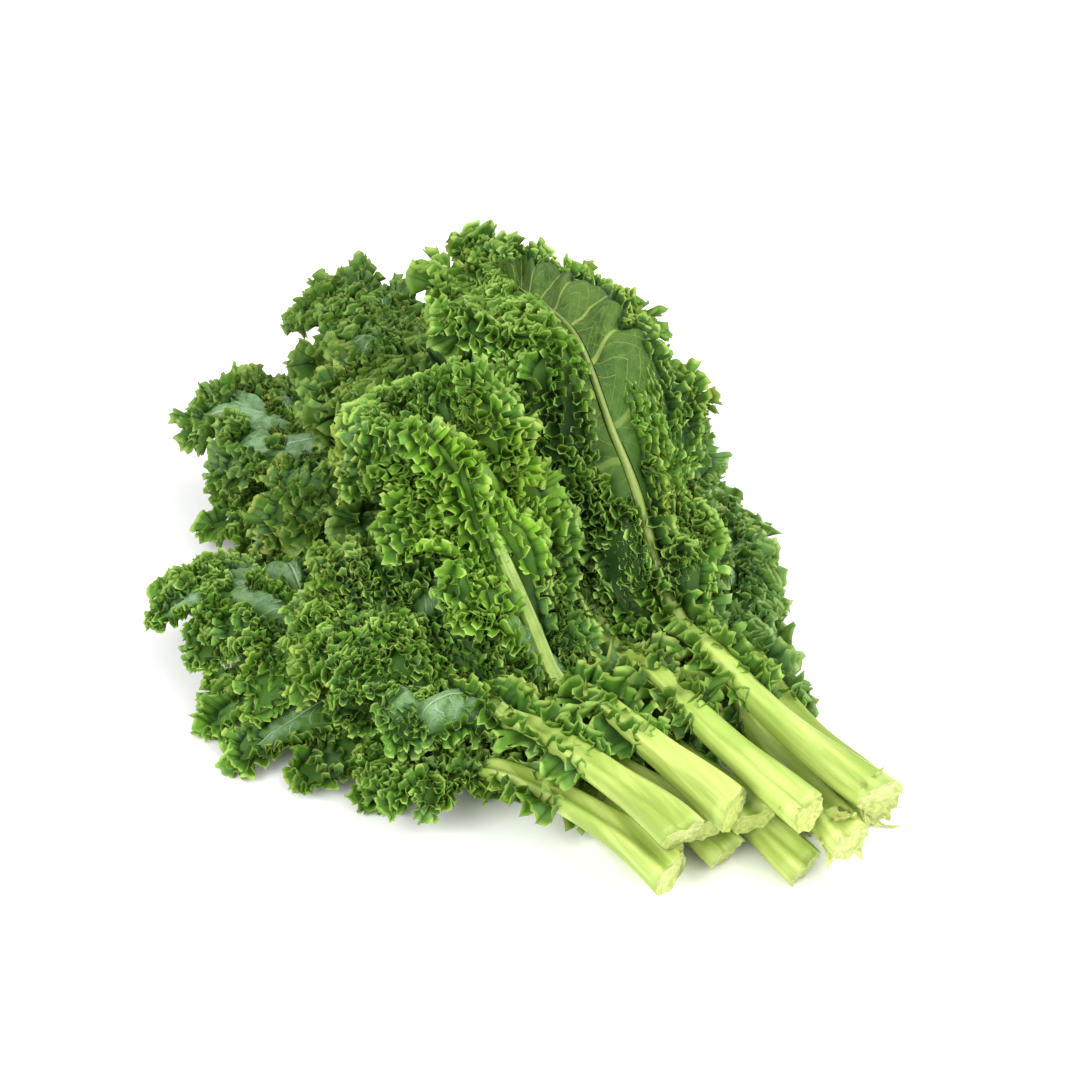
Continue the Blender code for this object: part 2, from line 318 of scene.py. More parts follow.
def frill(curve, up, out, height, lean, look, seed):
    """Points and the rim attribute of a frill along a curve. lean is its angle from up towards out."""
    s, foot, onward, stand, swing, height = frill_foot(curve, up, out, height, lean, look, seed)
    h = np.array(look.rows)[None, :]
    size = np.clip(1.5 * height / look.wave, 0, LARGEST_SIZE)
    large = bends(look.wave, WAVE_STRAY, seed, 1.7 * look.wave, s)
    small = bends(look.curl, CURL_STRAY, seed + 1, 1.9 * look.curl, s)
    wide = look.wave * varied(BEND, BEND_SPREAD, seed + 2, 2.3 * look.wave, s) * size
    tight = look.curl * varied(BEND, BEND_SPREAD, seed + 3, 1.5 * look.curl, s) * size
    zigzag = 2 / math.pi * np.arcsin(np.sin(small))
    aside = wide * h**0.9 * np.sin(large) + tight * h**2 * zigzag
    onwards = -WAVE_OVERHANG * wide * h * np.sin(2 * large)
    onwards = onwards - CURL_OVERHANG * tight * h**2 * np.sin(2 * small)
    pitch = max(TOOTH_PITCH, STEPS_A_TOOTH * look.step) * (1 + 0.25 * wander(seed + 6, 9 * MM, s))
    teeth = np.abs((np.cumsum(look.step / pitch)) % 1 - 0.5)[:, None] * 4 - 1
    depth = TOOTH * size * varied(0.65, 0.5, seed + 7, TOOTH_PITCH, s)
    cut = depth * teeth * h**5 + 0.06 * height * zigzag * h**3
    upwards = height * h * varied(0.82, 0.34, seed + 4, 0.7 * look.wave, s) + cut
    points = foot[:, None] + stand[:, None] * upwards[..., None]
    points += swing[:, None] * aside[..., None] + onward[:, None] * onwards[..., None]
    return points, np.broadcast_to(h, points.shape[:2])


# %% [markdown]
# ## Which frills a leaf carries
#
# Most of the blade is hidden by frills that stand on it in rows, upright near the midrib and more
# and more outward towards the margin. The margin itself carries two or three frills of different
# leans, since a single one would show as a pleated fan. Two more rows lean over the midrib and hide
# all but its lower part. Between the frills lie smooth patches that bulge up and show the leaf's
# bluish bloom, made paler as painted sheen, and pale veins: small ones scattered by a random field,
# and a few large ones at the lobes where the photograph shows them. The turned leaf shows its smooth
# underside on both sides of the midrib, with frills only towards its margin. Leaves that the others
# hide carry coarser frills.

# %% The look of each leaf
# smooth: for each smooth patch, its side (1 or -1), its lobe coordinate, its radius in lobes and the
# share of the width that it reaches. cover: the share of the blade's length past which frills hide
# the midrib. edge: the lean and the relative height of each frill at the margin. spacing: how far
# apart the blade's points lie along its margin. scattered: above which value of a random field the
# blade is smooth too, so that 1 leaves these small patches out
BladeLook = namedtuple("BladeLook", "look first rows height cover edge spacing scattered smooth")
ONE_EDGE = ((62, 1.2),)
TWO_EDGES = ((46, 1.2), (88, 1.3))
FULL_EDGE = ((42, 1.2), (76, 1.9), (104, 1.8))
FRONT = BladeLook(FINE, 0.16, 11, 5.8 * MM, 0.24, TWO_EDGES, 3 * MM, 0.42, ())
UPPER = BladeLook(LOOSE, 0.16, 11, 6.7 * MM, 0.24, TWO_EDGES, 3 * MM, 0.20, ())
HIDDEN = BladeLook(COARSE, 0.35, 5, 8 * MM, 0.30, ONE_EDGE, 4 * MM, 1, ())
LOOKS = (
    HIDDEN,  # leaves 1 to 3
    HIDDEN,
    HIDDEN,
    UPPER._replace(first=0.3, rows=4),  # leaf 4
    UPPER._replace(first=0.45, rows=4, smooth=((1, 4.8, 1.3, 0.78),)),
    FRONT._replace(rows=6, height=6.6 * MM),
    UPPER._replace(first=0.3, rows=6, height=6 * MM),
    FRONT,  # leaf 8
    UPPER._replace(first=0.4, rows=4),
    UPPER._replace(edge=FULL_EDGE, smooth=((1, 5.6, 1.0, 0.90), (1, 4.0, 0.3, 0.55))),
    FRONT._replace(cover=0.34),
    UPPER._replace(edge=FULL_EDGE),  # leaf 12
    UPPER._replace(
        rows=11, height=7.4 * MM, cover=2, edge=FULL_EDGE, spacing=1.8 * MM, scattered=1,
        smooth=((-1, 4.3, 2.7, 0.70), (1, 4.3, 2.6, 0.2)),
    ),
    UPPER._replace(first=0.20, rows=9, height=7.4 * MM, cover=0.56, scattered=0.42),
)


PATCH_SPACING, PATCH_RISE, QUILT_RISE = 15 * MM, 2.6 * MM, 3.0 * MM


def patch_mask(number, u, place, v, xy):
    """1 in a smooth patch of the blade and 0 outside it, at margin places u and shares v of the width."""
    side = np.where(u < 0.5, 1, -1)
    least = LOOKS[number].scattered
    mask = smoothstep(least, least + 0.2, lumps(number + 80, PATCH_SPACING, xy)) * smoothstep(0.95, 0.8, v)
    for which, centre, radius, share in LOOKS[number].smooth:
        near = 1 - smoothstep(0.6, 1.1, np.abs(place - centre) / radius)
        ragged = share + 0.14 * wander(40 + number, 0.01, u)
        inside = 1 - smoothstep(-0.08, 0.08, v[None, :] - ragged[:, None])
        mask = np.maximum(mask, (near * (side == which))[:, None] * inside)
    return mask


def covered(number, t, ahead=0):
    """0 where the midrib is bare and 1 where it sinks between frills."""
    start = LOOKS[number].cover - ahead
    return smoothstep(start - 0.10, start + 0.08, t)


# %% [markdown]
# ## The blade's surface
#
# The blade is a ribbon that runs up one side of the midrib, round its tip and down the other. u goes
# round the margin and v from the midrib outwards. Lobes come from a margin that reaches out and in,
# each lobe of its own size, with smaller lobes on it.

# %% The blade from above
SMALLEST_LOBE, LARGEST_LOBE = 0.84, 1.06
SUB_LOBES, SUB_LOBE_DEPTH = 3, 0.13
COVERED_ROOT, BARE_ROOT = 0.15, 0.60


def margin(number, side, along):
    """How far the margin reaches, how far it rises, and the lobe coordinate."""
    rng = np.random.default_rng(SEED + number)
    sizes = rng.uniform(SMALLEST_LOBE, LARGEST_LOBE, (2, LOBES_A_SIDE + 2))
    left = side > 0
    place = LOBES_A_SIDE * along + STAGGER * left * (1 - along)
    centres = np.arange(LOBES_A_SIDE + 2)
    size = np.where(left, np.interp(place, centres, sizes[1]), np.interp(place, centres, sizes[0]))
    between = 1 - np.abs(np.cos(math.pi * place)) ** 1.2
    small = 1 - np.abs(np.cos(math.pi * SUB_LOBES * place + number))
    reach = size * (1 - LOBE_DEPTH * between) * (1 - SUB_LOBE_DEPTH * small)
    return reach, -np.cos(2 * math.pi * place), place


def blade_plan(number, u, v):
    line = lines[number]
    side = np.where(u < 0.5, 1.0, -1.0)
    along = 1 - np.abs(2 * u - 1)
    t = MIDRIB_END * np.sin(along * math.pi / 2) ** 1.15
    forward = line.at(t, line.tangent)
    leftward = np.stack([-forward[:, 1], forward[:, 0]], axis=1)
    inner_turn = side * math.radians(90) * (1 - smoothstep(0.88, 1, along))
    ray_turn = side * BASE_RAY_ANGLE * (1 - along**1.7)
    beside = forward * np.cos(inner_turn)[:, None] + leftward * np.sin(inner_turn)[:, None]
    outward = forward * np.cos(ray_turn)[:, None] + leftward * np.sin(ray_turn)[:, None]
    reach, lobe_rise, place = margin(number, side, along)
    root_share = BARE_ROOT + (COVERED_ROOT - BARE_ROOT) * covered(number, t)
    inward = line.at(t, line.radius) * root_share
    width = np.maximum(line.at(t, line.half_width) * reach - inward, NARROWEST)
    root = line.at(t, line.xy) + beside * inward[:, None]
    xy = root[:, None] + outward[:, None] * (width[:, None] * v)[..., None]
    return xy, t, lobe_rise, place, width


# %% The blade in height
PUCKERS = ((2.0 * MM, 12 * MM), (1.0 * MM, 6.5 * MM))
VEIN_RISE, VEIN_HALF_WIDTH = 1.0 * MM, 0.035


def blade_grid(number, spacing, columns):
    """The blade's surface: rows evenly spaced round the margin, columns outwards from the midrib."""
    line = lines[number]
    fine = np.linspace(0, 1, 3001)
    edge = lengths(blade_plan(number, fine, np.array([1.0]))[0][:, 0])
    u = np.interp(np.linspace(0, edge[-1], int(edge[-1] / spacing)), edge, fine)
    v = np.linspace(0, 1, columns)
    xy, t, lobe_rise, place, width = blade_plan(number, u, v)
    rest = resting_height(number, xy.reshape(-1, 2)).reshape(xy.shape[:2])
    slab = line.at(t, line.slab)
    room = slab / 2 - SLAB_CLEAR
    edge_rise = (room - np.minimum(0.66 * room, line.fold)) * lobe_rise
    mid_rise = -0.4 * room * lobe_rise
    first = (mid_rise - 0.2 * edge_rise) / 0.25
    bend = first[:, None] * v + (edge_rise - first)[:, None] * v**2
    turned = -1 if line.turned else 1
    level = rest + slab[:, None] / 2 + bend * turned
    for size, spread in PUCKERS:
        level += size * lumps(number, spread, xy)
    vein = np.exp(-(((place - np.rint(place)) / VEIN_HALF_WIDTH) ** 2))
    level -= turned * VEIN_RISE * vein[:, None] * (1 - v)
    from_midrib = smoothstep(0, 0.3, v)
    z = line.at(t, midribs[number])[:, None] * (1 - from_midrib) + level * from_midrib
    grid = np.concatenate([xy - MIDDLE, z[..., None]], axis=2)
    return grid, t, place, width, u


# %% [markdown]
# ## Sheets from numbers
#
# Each sheet starts as Blender's own grid primitive with the right number of squares, and its points
# are then moved to their places. Named attributes ride along on the points: how near a frill's free
# edge a point is, which sets the painted shade at a frill's foot and the painted highlight at its
# rim, and on the blade a fixed value that sets its painted shade between the frills; how smooth and
# bluish the leaf is there; and where it lies across the lobes. The materials read them later.

# %% A sheet
ATTRIBUTES = ("rim", "bloom", "place", "across")
TABLE_GAP = 0.4 * MM


def sheet(name, points, attributes):
    rows, columns = points.shape[:2]
    points[..., 2] = np.maximum(points[..., 2], TABLE_GAP)
    bpy.ops.object.select_all(action="DESELECT")
    bpy.ops.mesh.primitive_grid_add(x_subdivisions=columns - 1, y_subdivisions=rows - 1, size=1)
    piece = bpy.context.object
    piece.name = piece.data.name = name
    piece.data.vertices.foreach_set("co", points.astype(np.float32).ravel())
    for label in ATTRIBUTES:
        layer = piece.data.attributes.new(label, "FLOAT", "POINT")
        values = np.broadcast_to(attributes.get(label, 0.0), (rows, columns))
        layer.data.foreach_set("value", values.astype(np.float32).ravel())
    piece.data.update()
    return piece


def joined(name, sheets):
    """Several sheets as one piece, with its place in its mesh."""
    bpy.ops.object.select_all(action="DESELECT")
    for piece in sheets:
        piece.select_set(True)
    bpy.context.view_layer.objects.active = sheets[0]
    if len(sheets) > 1:
        bpy.ops.object.join()
    bpy.ops.object.transform_apply(location=True, rotation=True, scale=True)
    bpy.ops.object.shade_smooth()
    piece = bpy.context.object
    piece.name = piece.data.name = name
    return piece


# %% The rows of frills on one blade
LEAN_INNER, LEAN_MARGIN = math.radians(8), math.radians(56)
COVER_ROWS = ((0.07, math.radians(-38)), (0.14, math.radians(-22)))
CLUMP, CLUMP_SPACING = 0.46, 18 * MM


def frill_rows(number, t, width, patches):
    """(column of the blade, lean, height along the margin) for each row of frills."""
    chosen = LOOKS[number]
    shares = np.linspace(chosen.first, 1, chosen.rows)
    gap = shares[1] - shares[0]
    full = chosen.height * (0.6 + 0.4 * smoothstep(4 * MM, 30 * MM, width))
    for share in shares[:-1]:
        column = int(round(share * (BLADE_COLUMNS - 1)))
        room = smoothstep(0.6 * MM, 2.2 * MM, width * gap)
        lean = LEAN_INNER + (LEAN_MARGIN - LEAN_INNER) * max(share - 0.2, 0) ** 2 / 0.64
        yield column, lean, full * room * (1 - patches[:, column])
    for lean, taller in chosen.edge:
        yield BLADE_COLUMNS - 1, math.radians(lean), full * taller
    for share, lean in COVER_ROWS:
        yield int(round(share * (BLADE_COLUMNS - 1))), lean, 1.2 * full * covered(number, t, 0.10)


# %% One blade
BLADE_COLUMNS, LOWEST_FRILL = 17, 0.5 * MM


def build_blade(number):
    chosen = LOOKS[number]
    grid, t, place, width, u = blade_grid(number, chosen.spacing, BLADE_COLUMNS)
    v = np.linspace(0, 1, BLADE_COLUMNS)
    patches = patch_mask(number, u, place, v, grid[..., :2])
    quilt = QUILT_RISE * np.abs(np.sin(2 * math.pi * place))[:, None] * np.sin(math.pi * v)
    grid[..., 2] += patches * (quilt + PATCH_RISE * (chosen.scattered < 1))
    normal = unit(np.cross(np.gradient(grid, axis=1), np.gradient(grid, axis=0)))
    normal *= np.sign(normal[..., 2:] + 1e-9)
    normal = unit(smoothed(normal, 3))
    # The blade's rim value sets its painted shade: darker between the frills, hardly at all on the smooth
    # patches.
    made = [sheet("blade", grid.copy(), {
        "rim": 0.30 + 0.30 * patches, "bloom": patches,
        "place": place[:, None], "across": v[None, :],
    })]
    for row, (column, lean, height) in enumerate(frill_rows(number, t, width, patches)):
        if height.max() < LOWEST_FRILL:
            continue
        curve = smoothed(grid[:, column], 1)
        up = normal[:, column]
        out = np.cross(unit(np.gradient(curve, axis=0)), up)
        outward = grid[:, column] - grid[:, column - 1]
        out = unit(out * np.sign((out * outward).sum(axis=1, keepdims=True)))
        height = height * (1 + CLUMP * lumps(number + 50, CLUMP_SPACING, curve[:, :2]))
        points, rim = frill(curve, up, out, height, lean, chosen.look, 1000 * number + 20 * row)
        made.append(sheet("frill", points, {"rim": rim}))
    made += leaflets(number)
    piece = joined(f"kale_leaf_{number + 1:02d}_blade", made)
    print(piece.name, len(piece.data.polygons) * 2, "triangles")
    return piece


# %% [markdown]
# ## Leaflets at the waist
#
# Below the blade proper, a kale stalk carries small frilly leaflets on both sides. In the bunch they
# crowd together at the waist and hide where the stalks turn into midribs. Each side gets two or three
# layers of the same strip as before, in a leafier look and with a height that swells and shrinks.
# On the short leaf on top they end sooner and leave its pale midrib bare, as in the photograph.

# %% Leaflets along one stalk
LEAFLET_FROM, LEAFLET_TO = -38 * MM, 80 * MM
LEAFLET_SHARE, BARE_MIDRIB_SHARE = 0.5, 0.33
LEAFLET_PITCH, LEAFLET_HEIGHT, LEAFLET_STEP = 27 * MM, 18 * MM, 1.5 * MM
LEAFLET_GROW, LEAFLET_FADE = 12 * MM, 30 * MM
LEAFLET_LEANS = (math.radians(66), math.radians(26), math.radians(-28))
LEAFLET_SEED = 7000


def leaflets(number):
    line = lines[number]
    share = BARE_MIDRIB_SHARE if LOOKS[number].cover > 0.5 else LEAFLET_SHARE
    furthest = min(LEAFLET_TO, share * (line.length - line.blade_start))
    reach = np.arange(LEAFLET_FROM, furthest, LEAFLET_STEP) + line.blade_start
    xy = resample(reach, line.reach, line.xy) - MIDDLE
    path = np.concatenate([xy, np.interp(reach, line.reach, midribs[number])[:, None]], axis=1)
    onward = unit(np.gradient(path, axis=0))
    radius = np.interp(reach, line.reach, line.radius)[:, None]
    s = reach - reach[0]
    ends = smoothstep(0, LEAFLET_GROW, s) * (1 - smoothstep(s[-1] - LEAFLET_FADE, s[-1], s))
    made = []
    for side in (1, -1):
        aside = unit(np.cross(onward, (0, 0, side)))
        above = np.cross(aside, onward) * side
        above *= np.sign(above[:, 2:])
        lobe = np.abs(np.sin(math.pi * (s / LEAFLET_PITCH + 0.3 * number + 0.45 * (side > 0))))
        height = LEAFLET_HEIGHT * ends * (0.42 + 0.58 * lobe)
        curve = path + aside * radius * 0.8
        for layer, lean in enumerate(LEAFLET_LEANS[: 3 if side > 0 else 2]):
            seed = LEAFLET_SEED + 100 * number + 30 * side + 10 * layer
            points, rim = frill(curve, above, aside, height * (1 - 0.25 * layer), lean, LEAFY, seed)
            made.append(sheet("leaflets", points, {"rim": rim}))
    return made


# %% Every blade
blades = [build_blade(number) for number in range(len(LEAVES))]
print("blades:", sum(len(piece.data.polygons) for piece in blades) * 2, "triangles")

# %% [markdown]
# ## Stalks
#
# A kale stalk is rounded below and flat or grooved above, has fine ridges along it, flares where it
# was cut from the stem, and runs on into the blade as the midrib. The cut face is a little hollow
# and paler, with a torn edge. The tube is a grid whose columns go round and whose rows go along. Its
# first rows are the cut face, from the middle outwards, and its last ring closes in a point. Stalks
# that were torn off rather than cut end in thin curling shreds.

# %% The section
CORNERS = np.array((
    (0.42, -0.92), (-0.42, -0.92), (-0.92, -0.42), (-1.0, 0.20), (-0.68, 0.70),
    (0.0, 0.44), (0.68, 0.70), (1.0, 0.20), (0.92, -0.42),
))
ROUND_STEPS = 32


def closed_section(corners, steps):
    """A smooth closed curve through the corners."""
    place = np.linspace(0, len(corners), steps, endpoint=False)
    at = np.floor(place).astype(int)
    f = (place - at)[:, None]
    a, b, c, d = (corners[(at + k) % len(corners)] for k in (-1, 0, 1, 2))
    return b + 0.5 * f * (c - a + f * (2 * a - 5 * b + 4 * c - d + f * (3 * (b - c) + d - a)))


section = closed_section(CORNERS, ROUND_STEPS)
section = np.concatenate([section, section[:1]])
print("the stalk's section has", ROUND_STEPS, "points")

# %% The path of a stalk
STALK_STEPS = 64
MIDRIB_SINK, MIDRIB_THINNING = 2.5 * MM, 0.35
THINNING, TURNED_THINNING = (0.22, 0.6), (0.55, 0.35)
POINT_RINGS, POINT = 6, 0.15


def stalk_path(number):
    line = lines[number]
    end = np.interp(MIDRIB_END, line.t, line.reach)
    reach = np.linspace(0, end, STALK_STEPS)
    xy = resample(reach, line.reach, line.xy) - MIDDLE
    z = np.interp(reach, line.reach, midribs[number])
    sunk = covered(number, np.interp(reach, line.reach, line.t))
    path = np.concatenate([xy, (z - MIDRIB_SINK * sunk)[:, None]], axis=1)
    path[2:-2] = smoothed(path, 2)[2:-2]
    return reach, path, 1 - MIDRIB_THINNING * sunk


def stalk_radius(number, reach, thinner):
    """The radius along the path: thinner where frills hide the midrib, and a point at its end."""
    line = lines[number]
    radius = np.interp(reach, line.reach, line.radius) * thinner
    thinning, thin_by = TURNED_THINNING if line.turned else THINNING
    radius *= 1 - thinning * smoothstep(0, thin_by, np.interp(reach, line.reach, line.t))
    radius[-POINT_RINGS:] *= np.linspace(1, POINT, POINT_RINGS)
    return radius


# %% Shreds at a torn end
SHREDS = {9: 14, 13: 4, 7: 8, 12: 2, 2: 5}
SHRED_LENGTHS, SHRED_WIDTHS = (8, 19), (1.2, 2.8)
SHRED_ROWS, SHRED_CROWN = 14, 0.35 * MM


def shreds(number, path, onward, aside, above, radius):
    """Thin torn strips that curl out of the cut end of some stalks."""
    rng = np.random.default_rng(900 + number)
    made = []
    for _ in range(SHREDS.get(number + 1, 0)):
        angle = rng.uniform(0, 2 * math.pi)
        length, width = rng.uniform(*SHRED_LENGTHS) * MM, rng.uniform(*SHRED_WIDTHS) * MM
        round_way = aside[0] * math.cos(angle) + above[0] * math.sin(angle)
        flat_way = aside[0] * -math.sin(angle) + above[0] * math.cos(angle)
        s = np.linspace(0, 1, SHRED_ROWS)[:, None]
        curl, twist = rng.uniform(-0.8, 0.8), rng.uniform(-2.5, 2.5)
        spine = path[2] + round_way * radius[0] * rng.uniform(0.45, 0.92) + round_way * length * 0.35 * s**2
        spine = spine - onward[0] * length * (s - 0.25 * s**2) + flat_way * length * curl * s**2
        across_way = flat_way * np.cos(twist * s) + round_way * np.sin(twist * s)
        half = width * (1 - 0.5 * s**2) * (1 + 0.35 * np.sin(11 * s + angle))
        points = spine[:, None] + (across_way * half)[:, None] * np.array([-1, 0, 1])[None, :, None]
        points[:, 1] += round_way * SHRED_CROWN
        made.append(sheet("shred", points, {"rim": 0.45 + 0.4 * s}))
    return made


# %% The cut end
CAP_SHARES = (0.0, 0.3, 0.55, 0.75, 0.9, 0.98)
CAP_HOLLOW, CAP_SLANT, CAP_TORN = 1.1 * MM, 0.5, 0.9 * MM


def cut_end(body, path, onward, aside, above, rng):
    """The rings of the cut face, from the middle outwards. The body's own first ring is slanted too."""
    slant = rng.uniform(-CAP_SLANT, CAP_SLANT, 2)
    torn = CAP_TORN * rng.uniform(-1, 1, ROUND_STEPS)
    torn = np.concatenate([torn, torn[:1]])

    def tilt(ring):
        return ((ring - path[0]) @ aside[0]) * slant[0] + ((ring - path[0]) @ above[0]) * slant[1]

    face = []
    for share in CAP_SHARES:
        ring = path[0] + (body[0] - path[0]) * share
        hollow = CAP_HOLLOW * (1 - share**4)
        face.append(ring + onward[0] * (hollow + tilt(ring) + torn * share**6)[:, None])
    body[0] += onward[0] * (tilt(body[0]) + torn)[:, None]
    return np.stack(face)


# %% One stalk
CAP_MIDDLE, CAP_RIM = 1.0, 0.7


def build_stalk(number):
    line = lines[number]
    rng = np.random.default_rng(SEED * 3 + number)
    reach, path, thinner = stalk_path(number)
    onward = unit(np.gradient(path, axis=0))
    aside = unit(np.cross(onward, (0, 0, 1)))
    above = np.cross(aside, onward) * (-1 if line.turned else 1)
    radius = stalk_radius(number, reach, thinner)
    turn = np.arange(ROUND_STEPS + 1) / ROUND_STEPS * 2 * math.pi
    ridge = 1 + 0.030 * np.cos(9 * turn + number) + 0.018 * np.cos(14 * turn)
    wobble = 1 + 0.03 * wander(number, 30 * MM, reach)
    ring = section * ridge[:, None]
    body = path[:, None] + (radius * wobble)[:, None, None] * (
        aside[:, None] * ring[None, :, :1] + above[:, None] * ring[None, :, 1:]
    )
    face = cut_end(body, path, onward, aside, above, rng)
    points = np.concatenate([face, body])
    cap = np.zeros(len(points))
    cap[: len(face)] = np.linspace(CAP_MIDDLE, CAP_RIM, len(face))
    along = np.concatenate([np.zeros(len(face)), np.interp(reach, line.reach, line.t)])
    made = sheet("stalk", points, {
        "rim": cap[:, None], "bloom": 1.0 * line.turned,
        "place": (turn / (2 * math.pi))[None, :], "across": along[:, None],
    })
    bpy.ops.object.mode_set(mode="EDIT")
    bpy.ops.mesh.select_all(action="SELECT")
    bpy.ops.mesh.remove_doubles(threshold=0.00001)
    bpy.ops.mesh.normals_make_consistent(inside=False)
    bpy.ops.object.mode_set(mode="OBJECT")
    torn_strips = shreds(number, path, onward, aside, above, radius)
    return joined(f"kale_leaf_{number + 1:02d}_stalk", [made, *torn_strips])


# %% Every stalk
stalks = [build_stalk(number) for number in range(len(LEAVES))]
print("stalks:", sum(len(piece.data.polygons) for piece in stalks) * 2, "triangles")

# %% [markdown]
# ## Writing shader maths
#
# A value in a material is a socket. Wrapping it in a small class lets Python's own signs add the
# Math nodes, so a mask reads like a sum on paper. Colours go through Mix nodes.

# %% A socket that can be reckoned with
class Reckoned:
    def __init__(self, finish, socket):
        self.finish, self.socket = finish, socket

    def with_sign(self, operation, *values):
        return self.finish.node("ShaderNodeMath", {"operation": operation}, *values)

    def __add__(self, other):
        return self.with_sign("ADD", self, other)

    def __radd__(self, other):
        return self.with_sign("ADD", other, self)

    def __sub__(self, other):
        return self.with_sign("SUBTRACT", self, other)

    def __rsub__(self, other):
        return self.with_sign("SUBTRACT", other, self)

    def __mul__(self, other):
        return self.with_sign("MULTIPLY", self, other)

    def __rmul__(self, other):
        return self.with_sign("MULTIPLY", other, self)

    def band(self, low, high):
        """0 below low, 1 above high, and smooth between."""
        ends = (0.0, 1.0) if low < high else (1.0, 0.0)
        low, high = min(low, high), max(low, high)
        settings = {"interpolation_type": "SMOOTHSTEP"}
        return self.finish.node("ShaderNodeMapRange", settings, self, low, high, *ends)


class Finish:
    """A material, with its Principled shader as `surface`."""

    def __init__(self, name):
        self.material = bpy.data.materials.new(name)
        self.material.use_nodes = True
        self.tree = self.material.node_tree
        self.surface = self.tree.nodes["Principled BSDF"]
        self.output = self.tree.nodes["Material Output"]

    def node(self, kind, settings, *values, output=0, **named):
        made = self.tree.nodes.new(kind)
        for key, value in settings.items():
            setattr(made, key, value)
        for key, value in [*enumerate(values), *named.items()]:
            socket = made.inputs[key if isinstance(key, int) else key.replace("_", " ")]
            self.feed(socket, value)
        return Reckoned(self, made.outputs[output])

    def feed(self, socket, value):
        if isinstance(value, Reckoned):
            self.tree.links.new(value.socket, socket)
        else:
            socket.default_value = value

    def attribute(self, name):
        return self.node("ShaderNodeAttribute", {"attribute_name": name}, output=2)

    def mix(self, amount, first, second):
        made = self.tree.nodes.new("ShaderNodeMix")
        made.data_type = "RGBA"
        for socket, value in zip((made.inputs[0], made.inputs[6], made.inputs[7]), (amount, first, second)):
            self.feed(socket, value)
        return Reckoned(self, made.outputs[2])

    def coordinates(self):
        return self.node("ShaderNodeTexCoord", {}, output=3)

    def noise(self, scale, detail=2.0, stretch=None):
        where = self.coordinates()
        if stretch:
            where = self.node("ShaderNodeMapping", {}, where, Scale=stretch)
        return self.node("ShaderNodeTexNoise", {}, Vector=where, Scale=scale, Detail=detail)

    def bump(self, height, strength, distance):
        return self.node("ShaderNodeBump", {}, Strength=strength, Distance=distance, Height=height)


# %% [markdown]
# ## The leaf's colours
#
# A frill is darkened where it stands on the leaf, and so is the blade between the frills: this is
# painted shade. Towards its free edge it is lightened as painted highlight, and it ends in a thin,
# bright, yellow-green rim that is partly the leaf's own colour and partly painted highlight, here
# and there a little olive. The smooth patches carry a bluish bloom of wax, made paler as painted
# sheen, and pale veins. A leaf lets some light through, so a translucent shader is mixed in. The
# leaves differ: the short one on top has a bright middle, partly the young leaf's own paler green
# and partly a painted pool of light, two behind it are deeper, those on the right are cooler, and
# the turned one shows an underside with broad yellowish veins.

# %% The leaves' colours
def colour(red, green, blue):
    return (red, green, blue, 1.0)


# In each palette the first colour is painted shade: it darkens a frill's foot and the blade between the
# frills.
LeafColours = namedtuple("LeafColours", "dark green fresh rim bloom vein")
# In each palette the brighter green also lightens a frill towards its free edge as painted highlight, and
# the rim colour is partly the leaf's own yellow-green and partly painted highlight.
COMMON = LeafColours(
    dark=colour(0.010, 0.038, 0.005), green=colour(0.050, 0.140, 0.014), fresh=colour(0.106, 0.254, 0.023),
    # The bloom colour is the leaf's bluish wax, made paler as painted sheen.
    rim=colour(0.38, 0.56, 0.13), bloom=colour(0.215, 0.355, 0.185), vein=colour(0.44, 0.57, 0.34),
)
# Brighter colours for the middle of the short leaf on top: partly the young leaf's own paler green and
# partly a painted pool of light.
YOUNG_AND_LIT = LeafColours(
    dark=colour(0.020, 0.064, 0.007), green=colour(0.100, 0.250, 0.019), fresh=colour(0.255, 0.490, 0.032),
    rim=colour(0.44, 0.61, 0.15), bloom=colour(0.16, 0.29, 0.08), vein=colour(0.42, 0.55, 0.18),
)
UNDERSIDE = COMMON._replace(
    green=colour(0.028, 0.076, 0.009), bloom=colour(0.074, 0.145, 0.022), vein=colour(0.26, 0.36, 0.075)
)
COOL = COMMON._replace(
    green=colour(0.045, 0.130, 0.022), fresh=colour(0.095, 0.225, 0.034), rim=colour(0.34, 0.49, 0.17)
)
DEEP = COMMON._replace(
    green=colour(0.036, 0.102, 0.012), fresh=colour(0.076, 0.176, 0.019), rim=colour(0.27, 0.40, 0.10)
)
OLIVE = colour(0.44, 0.47, 0.09)
# The middle of that painted pool of light, full within the first distance and gone past the second.
YOUNG_LIT_PLACE, YOUNG_LIT_FROM, YOUNG_LIT_TO = (0.054, -0.031, 0.110), 0.030, 0.062


def young_and_lit_middle(made):
    """The common colours, but brighter ones near the middle of the short leaf on top: the young leaf's
    paler green and a painted pool of light.
    """
    settings = {"operation": "DISTANCE"}
    away = made.node("ShaderNodeVectorMath", settings, made.coordinates(), YOUNG_LIT_PLACE, output=1)
    near = away.band(YOUNG_LIT_TO, YOUNG_LIT_FROM)
    return LeafColours(*(made.mix(near, old, new) for old, new in zip(COMMON, YOUNG_AND_LIT)))


# %% The veins of the smooth patches
VEIN_NET = 230.0


